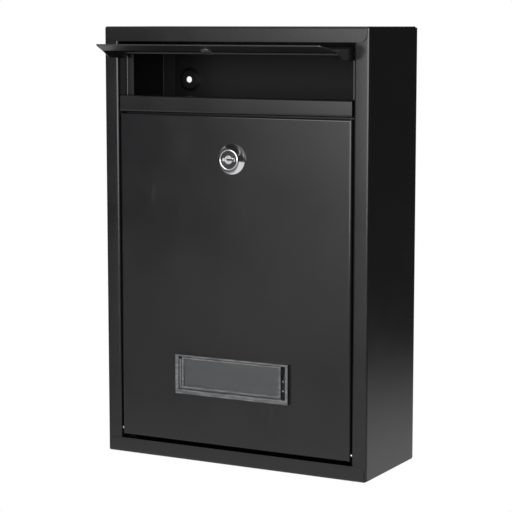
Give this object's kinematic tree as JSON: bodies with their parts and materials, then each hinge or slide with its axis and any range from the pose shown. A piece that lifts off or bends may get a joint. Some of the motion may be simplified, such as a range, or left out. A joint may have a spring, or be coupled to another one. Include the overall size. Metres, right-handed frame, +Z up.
{
  "type": "wall mounted mailbox",
  "caption": "Wall mounted letterbox of folded steel with a hinged letter flap, a lockable drop-front door and a clear name holder.",
  "frame": {"origin": "centre of the back face, where the body lies flat on the wall", "axes": "+X to the right seen from the front, +Y into the wall, +Z up; the front faces -Y"},
  "size_m": [0.216, 0.1168, 0.32],
  "materials": {
    "powder_coat": "matt black powder coat",
    "zinc": "bright zinc plate",
    "chrome": "polished chrome plate",
    "dark_face": "dark plated",
    "clear_acrylic": "clear, glossy",
    "clear_silicone": "clear, satin",
    "card": "plain dark grey card"
  },
  "bodies": {
    "housing": {"side_left": "powder_coat", "side_right": "powder_coat", "top_cap": "powder_coat", "bottom_pan": "powder_coat", "back_panel": "powder_coat", "slot_rail": "powder_coat", "rail_rivets": "powder_coat", "flap_rod": "powder_coat", "rod_retainers": "zinc", "door_pin_left": "zinc", "door_pin_right": "zinc"},
    "flap": {"flap_panel": "powder_coat", "flap_bumper": "clear_silicone"},
    "door": {"door_panel": "powder_coat", "lock_body": "chrome", "lock_face": "dark_face", "lock_nut": "zinc", "label_holder": "clear_acrylic", "label_push_nuts": "zinc"},
    "lock": {"lock_plug": "chrome", "lock_cam": "zinc", "cam_washer": "zinc", "cam_screw": "zinc"},
    "name_card": {"label_card": "card"}
  },
  "joints": [
    {"name": "flap_hinge", "type": "hinge", "parent": "housing", "child": "flap", "pos_m": [0, -0.078, 0.1412], "axis": [1, 0, 0], "range_deg": [-15, 78]},
    {"name": "door_hinge", "type": "hinge", "parent": "housing", "child": "door", "pos_m": [0, -0.08, -0.142], "axis": [1, 0, 0], "range_deg": [0, 110]},
    {"name": "lock_turn", "type": "hinge", "parent": "door", "child": "lock", "pos_m": [0, -0.0832, 0.0653], "axis": [0, 1, 0], "range_deg": [0, 90]},
    {"name": "card_slide", "type": "slide", "parent": "door", "child": "name_card", "axis": [-1, 0, 0], "range_m": [0, 0.088]}
  ]
}
